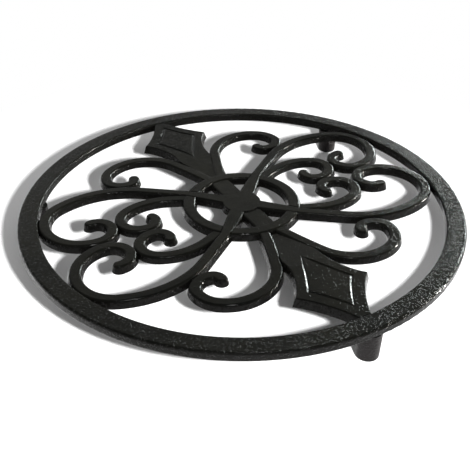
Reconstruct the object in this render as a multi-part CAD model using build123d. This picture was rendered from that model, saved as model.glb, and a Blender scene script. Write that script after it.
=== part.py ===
from build123d import *
import os
from math import atan2, cos, degrees, radians, sin, sqrt, tan

# Round cast-iron trivet. Millimetres, +Z up, the floor at z = 0 and the rim's axis on Z.
# The two diamonds lie on the Y axis, and the scrollwork mirrors in the X and Y axes.

# Rim
overall_height = 16.8
rim_outer_radius = 100.0
rim_width = 8.7
rim_thickness = 4.2
rim_edge_radius = 1.1
rim_lower_edge_radius = 0.8

# Bars of the scrollwork, which share the rim's flat underside. Their walls lean in as they rise, as a
# casting's do, and their widths are those at the underside.
wall_draft = 13.0
bar_width = 6.1
bar_edge_radius = 1.1
scroll_drop = 1.1
joint_depth = 1.2

# Hub ring and the star inside it
hub_outer_radius = 27.5
hub_ring_width = 6.9
hub_drop = 0.7
star_boss_radius = 9.4
star_arm_angle = 45.0
star_arm_root_width = 9.4
star_upright_width = 10.7
star_upright_drop = 1.2
lap_height = 1.7

# Outer scrolls: stem, top of the loop, rim contact, contact with the mirror twin, curl
outer_stem_heading = 37.0
outer_top_x = 60.0
outer_top_y = 40.0
outer_rim_angle = 17.3
outer_twin_x = 68.0
outer_curl_x = 59.6
outer_curl_y = 10.6
outer_tip_radius = 6.6
outer_tip_turn = 97.0

# Inner scrolls: root on the hub ring, top of the loop, contact with the mirror twin, curl
inner_root_angle = 37.0
inner_root_heading = 27.5
inner_top_x = 39.4
inner_top_y = 21.4
inner_twin_x = 46.0
inner_curl_x = 40.1
inner_curl_y = 7.7
inner_tip_radius = 4.4
inner_tip_turn = 27.0

# Side scrolls: root beside the diamond's stem, top and far side of the loop, contact with the outer stem
# as a share of the stem's second arc, curl
side_root_angle = 82.0
side_root_heading = 75.0
side_top_x = 30.9
side_top_y = 61.1
side_far_x = 47.2
side_far_y = 47.6
side_contact_share = 0.38
side_curl_x = 34.7
side_curl_y = 44.8

# Diamonds, the webs that lead from them to the hub, and the groove that lines them
diamond_drop = 0.3
diamond_half_width = 18.3
diamond_corner_y = 70.8
diamond_tip_half_width = 2.1
diamond_upper_hollow = 1.9
diamond_waist_half_width = 11.3
diamond_waist_y = 60.0
diamond_stem_half_width = 9.2
diamond_stem_y = 48.0
diamond_edge_radius = 0.6
web_start_y = 54.0
web_drop_at_hub = 1.9
groove_half_width = 10.2
groove_corner_y = 69.8
groove_near_y = 48.8
groove_rim_margin = 6.1
groove_hollow = 0.45
groove_width = 1.5
groove_floor_width = 0.1
groove_depth = 0.4

# Feet
foot_angles = {"foot_front": -90.0, "foot_right": 30.0, "foot_left": 150.0}
foot_setback = 0.1
foot_top_radius = 4.9
foot_bottom_radius = 4.6
foot_edge_radius = 0.8

# Levels and radii that follow from the sizes above
underside = overall_height - rim_thickness
rim_inner_radius = rim_outer_radius - rim_width
hub_inner_radius = hub_outer_radius - hub_ring_width
hub_height = rim_thickness - hub_drop
scroll_height = rim_thickness - scroll_drop
upright_height = rim_thickness - star_upright_drop
diamond_height = rim_thickness - diamond_drop
half_bar = bar_width / 2
draft_slope = tan(radians(wall_draft))
touching_bars = bar_width - joint_depth
standing = (Align.CENTER, Align.CENTER, Align.MIN)


def heading_vector(heading):
    return Vector(cos(radians(heading)), sin(radians(heading)))


def turn_between(first, second):
    """Signed turn in degrees from one flat vector to another, left turns positive."""
    cross = first.X * second.Y - first.Y * second.X
    return degrees(atan2(cross, first.dot(second)))


def arc_point(arc, share=1.0):
    """Point and heading at a share of an arc's length. An arc is (start, heading, turn, radius)."""
    start, heading, turn, radius = arc
    chord = 2 * radius * sin(radians(abs(turn) * share / 2))
    return start + heading_vector(heading + turn * share / 2) * chord, heading + turn * share


def biarc(start, start_heading, end, end_heading):
    """Two tangent arcs that lead from one point and heading to another."""
    t0 = heading_vector(start_heading)
    t1 = heading_vector(end_heading)
    chord = end - start
    along = chord.dot(t0 + t1)
    spread = 2 * (1 - t0.dot(t1))
    reach = (sqrt(along**2 + spread * chord.dot(chord)) - along) / spread
    middle = (start + t0 * reach + end - t1 * reach) * 0.5
    first_turn = 2 * turn_between(t0, middle - start)
    second_turn = 2 * turn_between(end - middle, t1)
    first_radius = (middle - start).length / (2 * sin(radians(abs(first_turn) / 2)))
    second_radius = (end - middle).length / (2 * sin(radians(abs(second_turn) / 2)))
    return [
        (start, start_heading, first_turn, first_radius),
        (middle, start_heading + first_turn, second_turn, second_radius),
    ]


def scroll_path(*knots):
    """Tangent arcs through knots of (point, heading). A scroll turns right, so its headings count down."""
    path = []
    for (start, start_heading), (end, end_heading) in zip(knots, knots[1:]):
        path += biarc(start, start_heading, end, end_heading)
    return path


def root_knot(angle, heading):
    """Start of a scroll: a bar's width inside the hub's edge, so that the hub trims it."""
    return heading_vector(angle) * hub_outer_radius - heading_vector(heading) * bar_width, heading


def upright_plane(point, heading):
    """Plane across a path: its x to the left, its y up from the underside."""
    left = heading_vector(heading + 90)
    ahead = heading_vector(heading)
    return Plane((point.X, point.Y, underside), x_dir=(left.X, left.Y, 0), z_dir=(ahead.X, ahead.Y, 0))


def bar_along(path, section):
    """Sweep an upright section round each arc of a path, and round off the far end."""
    pieces = []
    for start, heading, turn, radius in path:
        way = 1 if turn > 0 else -1
        centre = start + heading_vector(heading + 90) * (way * radius)
        axis = Axis((centre.X, centre.Y, 0), (0, 0, way))
        pieces.append(revolve(upright_plane(start, heading) * section, axis, abs(turn)))
    end, end_heading = arc_point(path[-1])
    left_half = section & Pos(half_bar, 0) * Rectangle(bar_width, 2 * rim_thickness)
    turned_back = Axis((end.X, end.Y, 0), (0, 0, -1))
    pieces.append(revolve(upright_plane(end, end_heading) * left_half, turned_back, 180))
    return pieces[0].fuse(*pieces[1:]).clean()


def disc(radius, height):
    return Pos(0, 0, underside) * Cylinder(radius, height, align=standing)


def drafted_disc(radius, height):
    """Disc whose wall leans in as it rises."""
    return Pos(0, 0, underside) * Cone(radius, radius - height * draft_slope, height, align=standing)


def drafted_bore(radius, height):
    """Room inside a ring whose inner wall leans outwards as it rises."""
    return Pos(0, 0, underside) * Cone(radius, radius + height * draft_slope, height, align=standing)


def bar_section(height):
    top = half_bar - height * draft_slope
    return make_face(Polyline((half_bar, 0), (top, height), (-top, height), (-half_bar, 0), close=True))


def rounded_bar(path, height):
    """Bar with a flat underside, drafted sides and rounded upper edges."""
    section = bar_section(height)
    upper_corners = section.vertices().group_by(Axis.Y)[-1]
    return bar_along(path, fillet(upper_corners, bar_edge_radius))


def bar_space(path):
    """Room that a bar takes up to its drafted sides, for trimming what butts against it."""
    return bar_along(path, bar_section(rim_thickness))


def quadrant_copies(name, solid):
    """The rear right piece and its three mirror images."""
    left = mirror(solid, Plane.YZ)
    return {
        name + "_rear_right": solid,
        name + "_rear_left": left,
        name + "_front_right": mirror(solid, Plane.XZ),
        name + "_front_left": mirror(left, Plane.XZ),
    }


def behind_x_axis(solid):
    """Trim a scroll flat on the X axis, where it meets its mirror twin."""
    span = 2 * rim_outer_radius
    return solid & Pos(0, span / 2, underside) * Box(span, span, 2 * rim_thickness)


def make_rim():
    body = disc(rim_outer_radius, rim_thickness) - disc(rim_inner_radius, rim_thickness)
    body = fillet(body.edges().group_by(Axis.Z)[-1], rim_edge_radius)
    return fillet(body.edges().group_by(Axis.Z)[0], rim_lower_edge_radius)


def slanted_arms(rounded):
    """The star's four slanted arms, with square or rounded upper edges, out past the hub."""
    length = hub_outer_radius + bar_width
    near_half = star_arm_root_width / 2
    taper = (near_half - half_bar) / hub_outer_radius
    far_half = near_half - taper * length
    outline = Polyline((0, -near_half), (length, -far_half), (length, far_half), (0, near_half), close=True)
    arm = extrude(make_face(outline), hub_height, taper=wall_draft)
    if rounded:
        long_edges = arm.edges().group_by(Axis.Z)[-1].filter_by(Axis.Y, reverse=True)
        arm = fillet(long_edges, bar_edge_radius)
    arm = Pos(0, 0, underside) * arm
    slants = (star_arm_angle, 180 - star_arm_angle, 180 + star_arm_angle, -star_arm_angle)
    return [Rot(0, 0, slant) * arm for slant in slants]


def plain_hub_ring(height):
    return drafted_disc(hub_outer_radius, height) - drafted_bore(hub_inner_radius, height)


def make_hub_star():
    """Boss with two upright arms that stop at the ring and four slanted arms that lie across it."""
    outline = Rectangle(star_upright_width, 2 * hub_outer_radius)
    upright = extrude(outline, upright_height, taper=wall_draft)
    upright = fillet(upright.edges().group_by(Axis.Z)[-1].filter_by(Axis.Y), bar_edge_radius)
    upright = Pos(0, 0, underside) * upright & drafted_bore(hub_inner_radius, rim_thickness)
    star = drafted_disc(star_boss_radius, hub_height).fuse(upright, *slanted_arms(rounded=True))
    star = star & drafted_disc(hub_outer_radius, hub_height)
    return star - plain_hub_ring(lap_height)


def make_hub_ring():
    """Ring with a notch for each slanted arm, cut down to the lap between them."""
    body = plain_hub_ring(hub_height)
    body = fillet(body.edges().group_by(Axis.Z)[-1], bar_edge_radius)
    below_lap = disc(rim_inner_radius, lap_height)
    return body - [arm - below_lap for arm in slanted_arms(rounded=False)]


def outer_scroll_path():
    rim_contact = heading_vector(outer_rim_angle) * (rim_inner_radius + joint_depth / 2 - half_bar)
    curl_side = Vector(outer_curl_x, outer_curl_y)
    path = scroll_path(
        root_knot(star_arm_angle, outer_stem_heading),
        (Vector(outer_top_x, outer_top_y), 0),
        (rim_contact, outer_rim_angle - 90),
        (Vector(outer_twin_x, touching_bars / 2), -180),
        (curl_side, -270),
    )
    return path + [(curl_side, -270, -outer_tip_turn, outer_tip_radius)]


def inner_scroll_path():
    curl_side = Vector(inner_curl_x, inner_curl_y)
    path = scroll_path(
        root_knot(inner_root_angle, inner_root_heading),
        (Vector(inner_top_x, inner_top_y), 0),
        (Vector(outer_curl_x - touching_bars, outer_curl_y), -90),
        (Vector(inner_twin_x, touching_bars / 2), -180),
        (curl_side, -270),
    )
    return path + [(curl_side, -270, -inner_tip_turn, inner_tip_radius)]


def side_scroll_path(outer_path):
    on_stem, stem_heading = arc_point(outer_path[1], side_contact_share)
    contact = on_stem + heading_vector(stem_heading + 90) * touching_bars
    return scroll_path(
        root_knot(side_root_angle, side_root_heading),
        (Vector(side_top_x, side_top_y), 0),
        (Vector(side_far_x, side_far_y), -90),
        (contact, stem_heading - 180),
        (Vector(side_curl_x, side_curl_y), -270),
    )


def hollow_arc(start, end, hollow):
    """Arc that sags to the left of the straight way from start to end."""
    along = (end - start).normalized()
    return ThreePointArc(start, (start + end) * 0.5 + Vector(-along.Y, along.X) * hollow, end)


def groove_kite(margin):
    """Hollow-sided kite that the groove follows, grown by a margin."""
    near = Vector(0, groove_near_y)
    corner = Vector(groove_half_width, groove_corner_y)
    far = Vector(0, rim_inner_radius - groove_rim_margin)
    right = [hollow_arc(near, corner, groove_hollow), hollow_arc(corner, far, groove_hollow)]
    left = [mirror(edge, Plane.YZ) for edge in right]
    return offset(make_face(Curve() + right + left), margin, kind=Kind.INTERSECTION)


def make_groove():
    """Tapered channel between two kites, cut into the diamond's face."""
    inset = (groove_width - groove_floor_width) / 2
    taper = degrees(atan2(inset, groove_depth))
    bed = extrude(groove_kite(groove_width / 2), -groove_depth, taper=taper)
    island = extrude(groove_kite(-groove_width / 2), -groove_depth, taper=-taper)
    return Pos(0, 0, underside + diamond_height) * (bed - island)


def make_diamond(hub_space, side_space):
    """Hollow-sided kite whose tip ends on the rim, with a web between two side scrolls down to the hub."""
    foot = heading_vector(side_root_angle) * hub_inner_radius
    stem = Vector(diamond_stem_half_width, diamond_stem_y)
    waist = Vector(diamond_waist_half_width, diamond_waist_y)
    corner = Vector(diamond_half_width, diamond_corner_y)
    tip = Vector(diamond_tip_half_width, rim_outer_radius - rim_width / 2)
    right = [
        Line(foot, stem),
        ThreePointArc(stem, waist, corner),
        hollow_arc(corner, tip, diamond_upper_hollow),
    ]
    left = [mirror(edge, Plane.YZ) for edge in right]
    ends = [Line(foot, Vector(-foot.X, foot.Y)), Line(tip, Vector(-tip.X, tip.Y))]
    outline = make_face(Curve() + right + left + ends)
    body = extrude(outline, diamond_height, taper=wall_draft)
    side_edges = body.edges().group_by(Axis.Z)[-1].filter_by(Axis.X, reverse=True)
    body = fillet(side_edges, diamond_edge_radius)
    slope = degrees(atan2(web_drop_at_hub, web_start_y - hub_outer_radius))
    hubward = (Align.CENTER, Align.MAX, Align.MIN)
    wedge = Box(2 * diamond_half_width, 2 * web_start_y, rim_thickness, align=hubward)
    body -= Pos(0, web_start_y, diamond_height) * Rot(slope, 0, 0) * wedge
    body = Pos(0, 0, underside) * body - make_groove()
    body = body & disc(rim_inner_radius, rim_thickness)
    return body - [hub_space, side_space, mirror(side_space, Plane.YZ)]


def make_foot(angle):
    """Tapered peg with a rounded lower edge, standing under the rim."""
    peg = Cone(foot_bottom_radius, foot_top_radius, underside, align=standing)
    peg = fillet(peg.edges().group_by(Axis.Z)[0], foot_edge_radius)
    return Rot(0, 0, angle) * Pos(rim_outer_radius - foot_top_radius - foot_setback, 0, 0) * peg


outer_path = outer_scroll_path()
inner_path = inner_scroll_path()
side_path = side_scroll_path(outer_path)
outer_space = bar_space(outer_path)
side_space = bar_space(side_path)
hub_space = drafted_disc(hub_outer_radius, rim_thickness)

outer_scroll = behind_x_axis(rounded_bar(outer_path, hub_height) - hub_space)
outer_scroll = outer_scroll & disc(rim_inner_radius, rim_thickness)
inner_scroll = behind_x_axis(rounded_bar(inner_path, scroll_height) - [hub_space, outer_space])
side_scroll = rounded_bar(side_path, scroll_height) - [hub_space, outer_space]
diamond = make_diamond(hub_space, side_space)

nodes = {
    "rim": make_rim(),
    "hub_ring": make_hub_ring(),
    "hub_star": make_hub_star(),
    "diamond_rear": diamond,
    "diamond_front": mirror(diamond, Plane.XZ),
}
nodes.update(quadrant_copies("outer_scroll", outer_scroll))
nodes.update(quadrant_copies("inner_scroll", inner_scroll))
nodes.update(quadrant_copies("side_scroll", side_scroll))
for foot_name, foot_angle in foot_angles.items():
    nodes[foot_name] = make_foot(foot_angle)

os.makedirs("parts", exist_ok=True)
for node_name, solid in nodes.items():
    export_step(solid, f"parts/{node_name}.step")
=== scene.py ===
import math
import bpy
from mathutils import Matrix, Vector


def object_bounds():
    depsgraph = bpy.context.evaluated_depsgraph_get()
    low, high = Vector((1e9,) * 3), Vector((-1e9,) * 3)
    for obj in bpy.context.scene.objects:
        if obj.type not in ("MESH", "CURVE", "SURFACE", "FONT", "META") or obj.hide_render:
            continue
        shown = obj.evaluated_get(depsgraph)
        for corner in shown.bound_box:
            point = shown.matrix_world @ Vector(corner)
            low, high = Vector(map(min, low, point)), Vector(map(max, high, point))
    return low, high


# Round cast-iron trivet, in metres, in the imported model's frame: +Z up, floor at z = 0.

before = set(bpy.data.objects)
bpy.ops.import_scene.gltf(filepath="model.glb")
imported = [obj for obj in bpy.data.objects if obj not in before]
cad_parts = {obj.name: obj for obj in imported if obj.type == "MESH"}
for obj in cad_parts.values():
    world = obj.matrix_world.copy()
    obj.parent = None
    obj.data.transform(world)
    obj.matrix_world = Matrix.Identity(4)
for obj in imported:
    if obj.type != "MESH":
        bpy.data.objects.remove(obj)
cad_low, cad_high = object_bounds()
trivet_top = cad_high.z

# Camera of the photograph: square image, heading from +Y towards +X, looking down on the rim's top face
camera_heading = math.radians(29.26)
camera_drop = math.radians(34.64)
camera_distance = 0.3030
camera_target = Vector((-0.0166, -0.0233, trivet_top))
camera_sensor = 36.0
camera_lens = 54.54

# Floor: the shadow shows up to the first distance from the middle, and past the second it is plain white
floor_size = 6.0
floor_colour = 0.95
shadow_reach = 0.135
white_reach = 0.20

# Surroundings: a white backdrop whose upper edge fades between two heights (sines of the angle above the
# horizon) into a dimmer ceiling
backdrop_fade_start = 0.17
backdrop_fade_end = 0.26
ceiling_level = 0.37

# Iron: the tops are a cloudy mix of black and olive, the walls are raw, and the feet's walls are paler
black = (0.0020, 0.0022, 0.0018)
olive = (0.0056, 0.0055, 0.0040)
raw = (0.0056, 0.0054, 0.0048)
raw_foot = (0.018, 0.016, 0.016)
iron_specular = 0.07
roughness_spread = 0.2
swell_depth = 0.0005
swell_strength = 0.5


def photo_direction(right, away, up):
    """Unit vector given in the photograph's own directions: to its right, away from the camera, up."""
    turn = Matrix.Rotation(-camera_heading, 3, "Z")
    return (turn @ Vector((right, away, up))).normalized()


def aim(obj, target):
    """Turn a camera or lamp so that it looks at a point."""
    obj.rotation_mode = "QUATERNION"
    obj.rotation_quaternion = (target - obj.location).to_track_quat("-Z", "Y")


def make_camera():
    data = bpy.data.cameras.new("photo_camera")
    data.sensor_width = camera_sensor
    data.lens = camera_lens
    data.clip_start = 0.01
    data.clip_end = 20.0
    camera = bpy.data.objects.new("photo_camera", data)
    bpy.context.scene.collection.objects.link(camera)
    sight = photo_direction(0, math.cos(camera_drop), -math.sin(camera_drop))
    camera.location = camera_target - sight * camera_distance
    aim(camera, camera_target)
    bpy.context.scene.camera = camera


def node_material(name):
    material = bpy.data.materials.new(name)
    material.use_nodes = True
    tree = material.node_tree
    tree.nodes.clear()
    return material, tree


def add_node(tree, kind, links=(), **values):
    """Add a node, set its properties and sockets, and link its sockets to (node, output) pairs."""
    node = tree.nodes.new(kind)
    for key, value in values.items():
        if hasattr(node, key):
            setattr(node, key, value)
        else:
            node.inputs[key.replace("_", " ")].default_value = value
    for socket, (source, output) in dict(links).items():
        tree.links.new(source.outputs[output], node.inputs[socket])
    return node


def map_range(tree, source, start, end, low=0.0, high=1.0, kind="SMOOTHSTEP"):
    """Map a (node, output) pair from start..end to low..high."""
    node = add_node(tree, "ShaderNodeMapRange", {"Value": source}, interpolation_type=kind)
    for socket, value in (("From Min", start), ("From Max", end), ("To Min", low), ("To Max", high)):
        node.inputs[socket].default_value = value
    return node


def noise(tree, place, scale, detail, roughness):
    return add_node(
        tree,
        "ShaderNodeTexNoise",
        {"Vector": (place, "Object")},
        Scale=scale,
        Detail=detail,
        Roughness=roughness,
    )


def make_floor():
    """White sheet that takes the trivet's shadow, and that is evenly white further out."""
    corners = [(-1, -1), (1, -1), (1, 1), (-1, 1)]
    mesh = bpy.data.meshes.new("floor")
    half = floor_size / 2
    mesh.from_pydata([(x * half, y * half, 0) for x, y in corners], [], [(0, 1, 2, 3)])
    floor = bpy.data.objects.new("floor", mesh)
    bpy.context.scene.collection.objects.link(floor)
    material, tree = node_material("white_floor")
    place = add_node(tree, "ShaderNodeTexCoord")
    reach = add_node(tree, "ShaderNodeVectorMath", {0: (place, "Object")}, operation="LENGTH")
    outside = map_range(tree, (reach, "Value"), shadow_reach, white_reach)
    sheet = add_node(tree, "ShaderNodeBsdfDiffuse", Color=(floor_colour, floor_colour, floor_colour, 1))
    glow = add_node(tree, "ShaderNodeEmission", Strength=1.0)
    blend = add_node(
        tree, "ShaderNodeMixShader", {"Fac": (outside, "Result"), 1: (sheet, "BSDF"), 2: (glow, "Emission")}
    )
    add_node(tree, "ShaderNodeOutputMaterial", {"Surface": (blend, "Shader")})
    mesh.materials.append(material)
    return floor


def cast_iron(name, wall, roughness, top_grit, wall_grit):
    """Cast iron with cloudy tops, walls of their own colour, gentle swells and scattered sand grit.

    The grit's depth is given for the tops and for the walls.
    """
    material, tree = node_material(name)
    place = add_node(tree, "ShaderNodeTexCoord")
    grain = noise(tree, place, 1000.0, 2.0, 0.65)
    swell = noise(tree, place, 160.0, 3.0, 0.5)
    patches = noise(tree, place, 45.0, 5.0, 0.6)

    colour = add_node(tree, "ShaderNodeValToRGB", {"Fac": (patches, "Fac")})
    for stop, position, tone in zip(colour.color_ramp.elements, (0.35, 0.75), (black, olive)):
        stop.position = position
        stop.color = (*tone, 1)
    facing = add_node(tree, "ShaderNodeNewGeometry")
    upward = add_node(tree, "ShaderNodeSeparateXYZ", {"Vector": (facing, "Normal")})
    top_face = map_range(tree, (upward, "Z"), 0.3, 0.7)
    tint = add_node(tree, "ShaderNodeMixRGB", {"Fac": (top_face, "Result"), "Color2": (colour, "Color")})
    tint.inputs["Color1"].default_value = (*wall, 1)

    smoother = roughness * (1 - roughness_spread)
    rougher = roughness * (1 + roughness_spread)
    gloss = map_range(tree, (patches, "Fac"), 0.3, 0.7, smoother, rougher, "LINEAR")

    waves = add_node(
        tree, "ShaderNodeBump", {"Height": (swell, "Fac")}, Strength=swell_strength, Distance=swell_depth
    )
    grit = map_range(tree, (grain, "Fac"), 0.50, 0.78)
    depth = map_range(tree, (top_face, "Result"), 0.0, 1.0, wall_grit, top_grit, "LINEAR")
    height = add_node(
        tree, "ShaderNodeMath", {0: (grit, "Result"), 1: (depth, "Result")}, operation="MULTIPLY"
    )
    bumps = add_node(
        tree,
        "ShaderNodeBump",
        {"Height": (height, "Value"), "Normal": (waves, "Normal")},
        Strength=1.0,
        Distance=1.0,
    )

    iron = add_node(
        tree,
        "ShaderNodeBsdfPrincipled",
        {"Base Color": (tint, "Color"), "Roughness": (gloss, "Result"), "Normal": (bumps, "Normal")},
    )
    iron.inputs["Specular IOR Level"].default_value = iron_specular
    add_node(tree, "ShaderNodeOutputMaterial", {"Surface": (iron, "BSDF")})
    return material


def area_lamp(name, direction, distance, width, height, power, colour):
    """Rectangular lamp that looks at the middle of the trivet's top from a distance."""
    data = bpy.data.lights.new(name, "AREA")
    data.shape = "RECTANGLE"
    data.size = width
    data.size_y = height
    data.energy = power
    data.color = colour
    lamp = bpy.data.objects.new(name, data)
    bpy.context.scene.collection.objects.link(lamp)
    centre = Vector((0, 0, trivet_top))
    lamp.location = centre + direction * distance
    aim(lamp, centre)
    return lamp


def shadow_lamp(right_of_camera, radius, power):
    """Small lamp beside the camera, as strong far away as near, which draws the shadow on the floor."""
    data = bpy.data.lights.new("shadow_lamp", "POINT")
    data.energy = power
    data.shadow_soft_size = radius
    data.use_nodes = True
    tree = data.node_tree
    even = add_node(tree, "ShaderNodeLightFalloff", Strength=1.0)
    tree.links.new(even.outputs["Constant"], tree.nodes["Emission"].inputs["Strength"])
    lamp = bpy.data.objects.new("shadow_lamp", data)
    bpy.context.scene.collection.objects.link(lamp)
    lamp.location = bpy.context.scene.camera.location + photo_direction(1, 0, 0) * right_of_camera
    return lamp


def make_world():
    """White backdrop all round up to a low height, under a dimmer ceiling."""
    world = bpy.data.worlds.new("studio")
    world.use_nodes = True
    tree = world.node_tree
    place = add_node(tree, "ShaderNodeTexCoord")
    height = add_node(tree, "ShaderNodeSeparateXYZ", {"Vector": (place, "Generated")})
    level = map_range(tree, (height, "Z"), backdrop_fade_start, backdrop_fade_end, 1.0, ceiling_level)
    background = tree.nodes["Background"]
    background.inputs["Color"].default_value = (1, 1, 1, 1)
    tree.links.new(level.outputs["Result"], background.inputs["Strength"])
    bpy.context.scene.world = world


def only_on(lamp, name, pieces):
    """Let a lamp shine on these pieces alone."""
    group = bpy.data.collections.new(name)
    for piece in pieces:
        group.objects.link(piece)
    lamp.light_linking.receiver_collection = group


make_camera()
floor = make_floor()

rim_iron = cast_iron("rim_iron", raw, roughness=0.16, top_grit=0.00026, wall_grit=0.00026)
bar_iron = cast_iron("bar_iron", raw, roughness=0.12, top_grit=0.00007, wall_grit=0.00026)
foot_iron = cast_iron("foot_iron", raw_foot, roughness=0.40, top_grit=0.0003, wall_grit=0.0003)
iron_of = {"rim": rim_iron, "foot": foot_iron}
for name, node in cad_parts.items():
    node.data.materials.clear()
    node.data.materials.append(iron_of.get(name.split("_")[0], bar_iron))

make_world()
floor_lamp = shadow_lamp(right_of_camera=0.0845, radius=0.015, power=103.0)
only_on(floor_lamp, "lit_floor", [floor])

# Low lamp at the right, for the walls and edges that face it
side_box = area_lamp(
    "side_box",
    photo_direction(0.97, 0.20, 0.15),
    distance=0.6,
    width=0.06,
    height=0.06,
    power=9.0,
    colour=(1.0, 0.97, 0.92),
)
# Low strip behind the right of the rim, which makes its grit glint
back_strip = area_lamp(
    "back_strip",
    photo_direction(0.58, 0.78, 0.23),
    distance=0.7,
    width=0.38,
    height=0.06,
    power=6.0,
    colour=(0.92, 1.0, 0.98),
)
# Broad dim card high at the back, for the flat tops to mirror
sky_card = area_lamp(
    "sky_card",
    photo_direction(0.0, 0.72, 0.69),
    distance=0.8,
    width=1.2,
    height=0.50,
    power=1.1,
    colour=(1.0, 1.0, 0.88),
)
# Small lamp overhead on the camera's side, for glints on the rounded ends
top_box = area_lamp(
    "top_box",
    photo_direction(0.1, -0.45, 0.9),
    distance=0.7,
    width=0.08,
    height=0.08,
    power=2.6,
    colour=(1.0, 1.0, 1.0),
)
for lamp in (side_box, back_strip, sky_card, top_box):
    only_on(lamp, lamp.name + "_object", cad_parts.values())

bpy.context.scene.view_settings.view_transform = "Standard"
